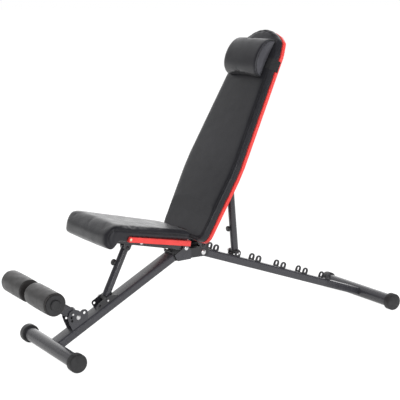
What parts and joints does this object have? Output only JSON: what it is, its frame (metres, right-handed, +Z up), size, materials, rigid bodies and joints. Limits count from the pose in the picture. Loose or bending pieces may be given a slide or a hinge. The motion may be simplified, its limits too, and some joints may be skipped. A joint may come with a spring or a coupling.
{
  "type": "decline sit-up bench",
  "caption": "Folding weight bench with reclining backrest, tilting seat, foam leg rollers and a notched rear rail.",
  "frame": {"origin": "on the floor, under the centre of the overall box", "axes": "+X from the leg rollers towards the rear stabiliser, +Y across the bench, +Z up"},
  "size_m": [1.5376, 0.438, 1.1187],
  "materials": {
    "powder_coat_charcoal": "charcoal powder coat, fine orange peel",
    "black_steel": "black satin coating",
    "zinc": "bright zinc plate",
    "black_plastic": "moulded black plastic",
    "black_rubber": "black moulded rubber",
    "foam": "dense closed-cell foam, satin brown-grey",
    "black_leatherette": "black leatherette, fine grain",
    "red_edge": "red painted board edge",
    "elastic": "black woven elastic"
  },
  "bodies": {
    "front_frame": {"front_leg": "powder_coat_charcoal", "front_leg_plug": "black_plastic", "front_stabilizer": "powder_coat_charcoal", "front_cap_near": "black_rubber", "front_cap_far": "black_rubber", "gusset_near": "powder_coat_charcoal", "gusset_far": "powder_coat_charcoal", "hinge_channel": "black_steel", "strut_channel": "black_steel", "roller_bracket_near": "powder_coat_charcoal", "roller_bracket_far": "powder_coat_charcoal", "rail_pivot_bolt": "zinc", "rail_pivot_nut": "zinc", "seat_pivot_bolt": "zinc", "seat_pivot_nut": "zinc", "roller_pivot_bolt": "zinc", "roller_pivot_nut": "zinc"},
    "rear_frame": {"rear_rail": "powder_coat_charcoal", "rail_catch_1": "black_steel", "rail_catch_2": "black_steel", "rail_catch_3": "black_steel", "rail_catch_4": "black_steel", "rail_catch_5": "black_steel", "rail_catch_6": "black_steel", "rear_stabilizer": "powder_coat_charcoal", "rear_cap_near": "black_rubber", "rear_cap_far": "black_rubber"},
    "backrest_hinge": {"backrest_pivot_bolt": "black_steel", "backrest_pivot_nut": "black_steel"},
    "backrest": {"backrest_board": "red_edge", "backrest_cushion": "black_leatherette", "backrest_frame": "powder_coat_charcoal", "head_pillow": "black_leatherette", "pillow_strap": "elastic"},
    "backrest_strut_hinge": {"backrest_strut_bolt": "zinc", "backrest_strut_nut": "zinc"},
    "backrest_strut": {"backrest_strut": "powder_coat_charcoal", "backrest_strut_foot": "black_plastic"},
    "backrest_knob": {"backrest_pull_knob": "black_plastic"},
    "backrest_pin": {"backrest_lock_pin": "zinc"},
    "seat": {"seat_board": "red_edge", "seat_cushion": "black_leatherette", "seat_frame": "powder_coat_charcoal", "seat_screw_front": "zinc", "seat_screw_rear": "zinc", "seat_cross_bolt": "zinc", "seat_cross_nut": "zinc", "seat_strut_bolt": "black_steel", "seat_strut_nut": "black_steel"},
    "seat_strut": {"seat_strut": "powder_coat_charcoal", "seat_strut_foot": "black_plastic"},
    "seat_knob": {"seat_pull_knob": "black_plastic"},
    "seat_pin": {"seat_lock_pin": "zinc"},
    "roller_arm": {"roller_arm": "powder_coat_charcoal", "roller_crossbar": "powder_coat_charcoal"},
    "near_roller": {"roller_near": "foam", "roller_cap_near": "black_plastic"},
    "far_roller": {"roller_far": "foam", "roller_cap_far": "black_plastic"},
    "roller_pin": {"roller_lock_pin": "zinc"}
  },
  "joints": [
    {"name": "rail_fold", "type": "hinge", "parent": "front_frame", "child": "rear_frame", "pos_m": [-0.0535, 0, 0.3044], "axis": [0, 1, 0], "range_deg": [0, 115]},
    {"name": "backrest_recline", "type": "hinge", "parent": "front_frame", "child": "backrest_hinge", "pos_m": [-0.0542, 0, 0.331], "axis": [0, 1, 0], "range_deg": [0, 58.3]},
    {"name": "backrest_raise", "type": "hinge", "parent": "backrest_hinge", "child": "backrest", "pos_m": [-0.0542, 0, 0.331], "axis": [0, 1, 0], "range_deg": [-26, 0]},
    {"name": "strut_swing_recline", "type": "hinge", "parent": "backrest", "child": "backrest_strut_hinge", "pos_m": [0.0753, 0, 0.652], "axis": [0, 1, 0], "range_deg": [-98.4, 0]},
    {"name": "strut_swing_raise", "type": "hinge", "parent": "backrest_strut_hinge", "child": "backrest_strut", "pos_m": [0.0753, 0, 0.652], "axis": [0, 1, 0], "range_deg": [0, 17.5]},
    {"name": "backrest_knob_pull", "type": "slide", "parent": "backrest_strut", "child": "backrest_knob", "axis": [-0.9958, 0, -0.0918], "range_m": [0, 0.008]},
    {"name": "backrest_pin_pull", "type": "slide", "parent": "rear_frame", "child": "backrest_pin", "axis": [0, 1, 0], "range_m": [0, 0.075]},
    {"name": "seat_lift", "type": "hinge", "parent": "front_frame", "child": "seat", "pos_m": [-0.1302, 0, 0.33], "axis": [0, 1, 0], "range_deg": [0, 15]},
    {"name": "seat_strut_swing", "type": "hinge", "parent": "seat", "child": "seat_strut", "pos_m": [-0.3652, 0, 0.356], "axis": [0, 1, 0], "range_deg": [-21.5, 0]},
    {"name": "seat_knob_pull", "type": "slide", "parent": "seat_strut", "child": "seat_knob", "axis": [-0.899, 0, 0.4379], "range_m": [0, 0.008]},
    {"name": "seat_pin_pull", "type": "slide", "parent": "front_frame", "child": "seat_pin", "axis": [0, 1, 0], "range_m": [0, 0.075]},
    {"name": "roller_tilt", "type": "hinge", "parent": "front_frame", "child": "roller_arm", "pos_m": [-0.5687, 0, 0.1333], "axis": [0, 1, 0], "range_deg": [0, 56]},
    {"name": "near_roller_spin", "type": "hinge", "parent": "roller_arm", "child": "near_roller", "pos_m": [-0.7289, 0, 0.2418], "axis": [0, 1, 0], "continuous": true},
    {"name": "far_roller_spin", "type": "hinge", "parent": "roller_arm", "child": "far_roller", "pos_m": [-0.7289, 0, 0.2418], "axis": [0, 1, 0], "continuous": true},
    {"name": "roller_pin_pull", "type": "slide", "parent": "front_frame", "child": "roller_pin", "axis": [0, 1, 0], "range_m": [0, 0.075]}
  ],
  "couplings": [
    {"joint": "strut_swing_recline", "follows": "backrest_recline", "ratio": -1.686},
    {"joint": "strut_swing_raise", "follows": "backrest_raise", "ratio": -0.664},
    {"joint": "seat_strut_swing", "follows": "seat_lift", "ratio": -1.405}
  ]
}
